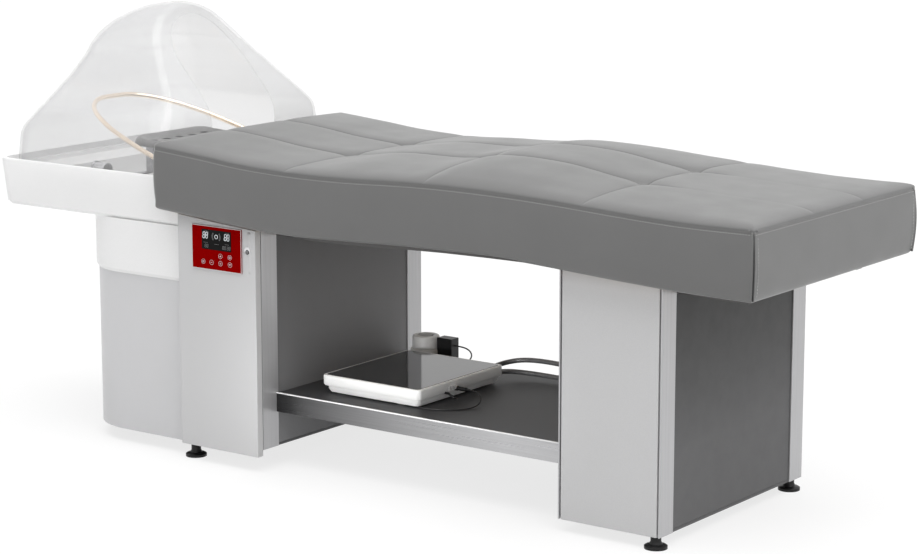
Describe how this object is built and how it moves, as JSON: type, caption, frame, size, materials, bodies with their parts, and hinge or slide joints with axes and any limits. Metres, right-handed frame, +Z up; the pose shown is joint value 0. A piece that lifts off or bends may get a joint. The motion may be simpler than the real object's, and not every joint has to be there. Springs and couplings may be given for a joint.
{
  "type": "hair washing bed",
  "caption": "Quilted treatment bed on two cabinets with a shelf between them, and a wash basin with clear hood, water arch and head rest at the head end.",
  "frame": {"origin": "on the floor, under the centre of the overall length and width", "axes": "+X towards the foot end, +Y towards the side away from the cabinet door, +Z up"},
  "size_m": [2.174, 0.7, 1.0463],
  "materials": {
    "grey_leather": "matte coated fabric over foam",
    "plywood": "bare",
    "grey_paint": "satin",
    "pale_panel": "satin silver lacquer on board",
    "dark_panel": "satin dark lacquer on board",
    "silver_trim": "brushed",
    "brushed_rail": "brushed",
    "chrome": "polished",
    "red_plastic": "gloss",
    "display_glass": "gloss",
    "silver_key": "satin",
    "black_plastic": "matte",
    "white_plastic": "gloss",
    "pale_sheet": "satin",
    "steel": "brushed",
    "grey_rubber": "matte",
    "rose_metal": "satin",
    "clear_plastic": "gloss, slightly frosted",
    "brass": "machined",
    "dark_glass": "gloss",
    "black_cord": "matte",
    "grey_plastic": "matte",
    "black_foot": "matte"
  },
  "bodies": {
    "bed": {"mattress": "grey_leather", "mattress_board": "plywood", "side_rails": "grey_paint", "cross_rails": "grey_paint", "cabinet_top_plates": "grey_paint", "foot_near_panel": "pale_panel", "foot_far_panel": "pale_panel", "foot_end_panel": "dark_panel", "foot_inner_panel": "dark_panel", "foot_corner_posts": "silver_trim", "foot_base_plate": "grey_paint", "head_far_panel": "pale_panel", "head_inner_panel": "dark_panel", "head_rear_panel": "dark_panel", "head_corner_posts": "silver_trim", "head_base_plate": "grey_paint", "shelf_panel": "dark_panel", "shelf_rails": "brushed_rail", "hinge_brackets": "chrome", "basin_tray": "white_plastic", "basin_tub": "white_plastic", "basin_skirt": "pale_sheet", "drain_body": "chrome", "drain_pipe": "white_plastic", "head_rest_bracket": "steel", "arch_swivels": "chrome", "mixer_valve": "chrome", "water_tank": "steel", "tank_lid": "steel", "heating_element": "steel", "circulation_pump": "black_plastic", "water_pipes": "white_plastic", "hose_fittings": "brass", "unit_case": "white_plastic", "unit_glass": "dark_glass", "unit_socket": "black_plastic", "unit_plug": "steel", "unit_cable": "black_cord", "air_pump": "grey_plastic", "power_adapter": "black_plastic", "adapter_lead": "black_cord", "air_hoses": "black_cord", "hose_clip": "black_plastic", "panel_screws": "chrome"},
    "door": {"cabinet_door": "pale_panel", "hinge_knuckles": "chrome", "control_panel": "red_plastic", "display_window": "display_glass", "touch_keys": "silver_key", "control_box": "black_plastic"},
    "lock": {"door_lock": "chrome"},
    "hood_cover": {"hood": "clear_plastic"},
    "arch": {"water_arch": "rose_metal"},
    "rest": {"head_rest": "grey_rubber"},
    "knob": {"mixer_knob": "chrome"},
    "plug": {"drain_plug": "chrome"},
    "foot_1": {"levelling_foot_foot_near": "black_foot"},
    "foot_2": {"levelling_foot_foot_far": "black_foot"},
    "foot_3": {"levelling_foot_head_near": "black_foot"},
    "foot_4": {"levelling_foot_head_far": "black_foot"}
  },
  "joints": [
    {"name": "door_swing", "type": "hinge", "parent": "bed", "child": "door", "pos_m": [-0.47, -0.3045, 0.3], "axis": [0, 0, -1], "range_deg": [0, 90]},
    {"name": "lock_turn", "type": "hinge", "parent": "door", "child": "lock", "pos_m": [-0.252, -0.31, 0.524], "axis": [0, -1, 0], "range_deg": [0, 90]},
    {"name": "hood_lift", "type": "slide", "parent": "bed", "child": "hood_cover", "axis": [0, 0, 1], "range_m": [0, 0.3]},
    {"name": "arch_tilt", "type": "hinge", "parent": "bed", "child": "arch", "pos_m": [-0.561, 0, 0.663], "axis": [0, 1, 0], "range_deg": [-8, 20]},
    {"name": "head_rest_lift", "type": "slide", "parent": "bed", "child": "rest", "axis": [0, 0, 1], "range_m": [0, 0.05]},
    {"name": "mixer_turn", "type": "hinge", "parent": "bed", "child": "knob", "pos_m": [-0.94, -0.085, 0.622], "axis": [1, 0, 0], "range_deg": [0, 90]},
    {"name": "drain_plug_lift", "type": "slide", "parent": "bed", "child": "plug", "axis": [0, 0, 1], "range_m": [0, 0.03]},
    {"name": "foot_screw_1", "type": "slide", "parent": "bed", "child": "foot_1", "axis": [0, 0, 1], "range_m": [-0.015, 0]},
    {"name": "foot_screw_2", "type": "slide", "parent": "bed", "child": "foot_2", "axis": [0, 0, 1], "range_m": [-0.015, 0]},
    {"name": "foot_screw_3", "type": "slide", "parent": "bed", "child": "foot_3", "axis": [0, 0, 1], "range_m": [-0.015, 0]},
    {"name": "foot_screw_4", "type": "slide", "parent": "bed", "child": "foot_4", "axis": [0, 0, 1], "range_m": [-0.015, 0]}
  ]
}
